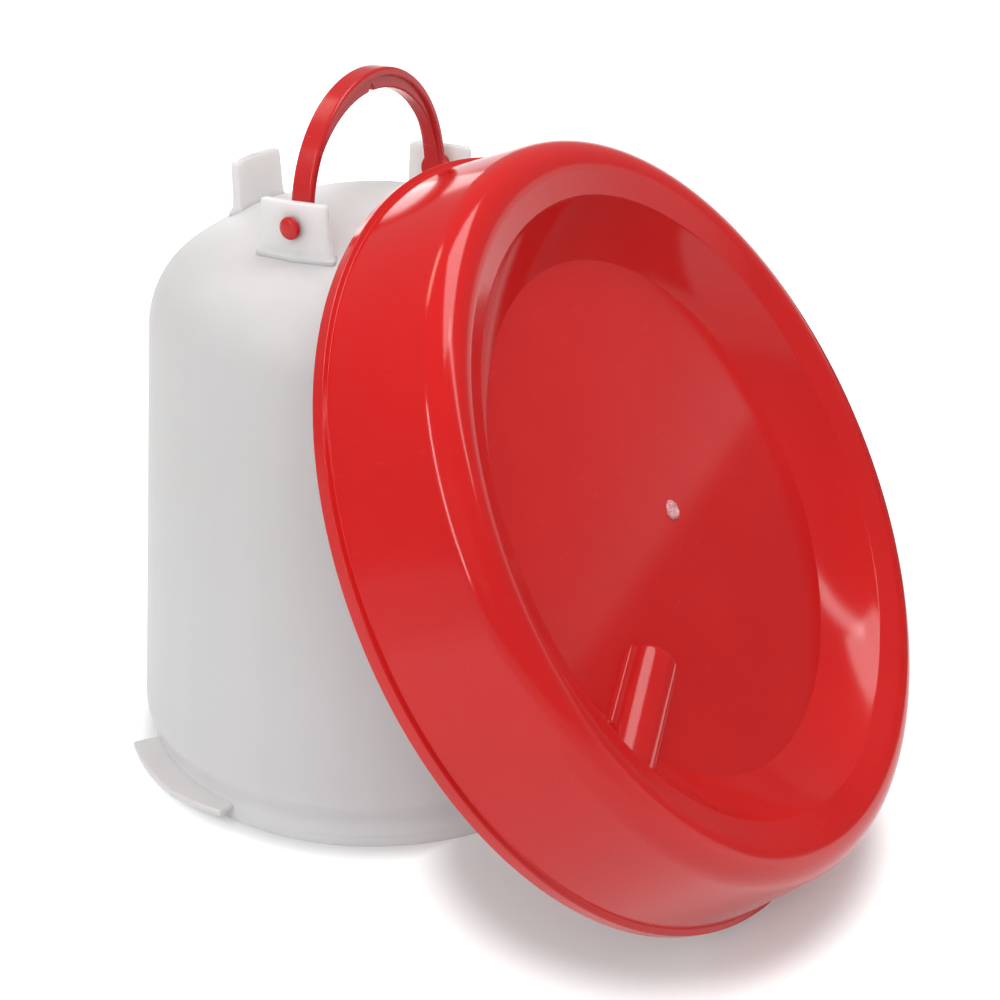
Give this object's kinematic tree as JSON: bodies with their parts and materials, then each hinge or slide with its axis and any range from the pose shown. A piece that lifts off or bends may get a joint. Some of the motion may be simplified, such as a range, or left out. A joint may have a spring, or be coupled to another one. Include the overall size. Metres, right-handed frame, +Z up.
{
  "type": "poultry drinker",
  "caption": "Jar-and-tray vacuum drinker for poultry, taken apart: domed jar with swinging carry handle, and red water tray leaning on it.",
  "frame": {"origin": "on the floor, below the middle of the whole object as it stands with the tray leaning on the jar", "axes": "+X from the jar towards the leaning tray; +Y along the handle's pivot axis, towards the far ear; +Z up"},
  "size_m": [0.3116, 0.2806, 0.264],
  "materials": {
    "milky_plastic": "satin, slightly see-through",
    "handle_plastic": "gloss",
    "tray_plastic": "gloss"
  },
  "bodies": {
    "jar": {"reservoir": "milky_plastic"},
    "handle": {"carry_handle": "handle_plastic"},
    "tray": {"water_tray": "tray_plastic"}
  },
  "joints": [
    {"name": "handle_swing", "type": "hinge", "parent": "jar", "child": "handle", "pos_m": [-0.0582, 0.02063, 0.2197], "axis": [0, 1, 0], "range_deg": [-90, 50]},
    {"name": "tray_tip", "type": "hinge", "parent": "jar", "child": "tray", "pos_m": [0.13245, -0.00544, 0.02561], "axis": [0.068, 0.9977, 0], "range_deg": [0, 123.3]}
  ]
}
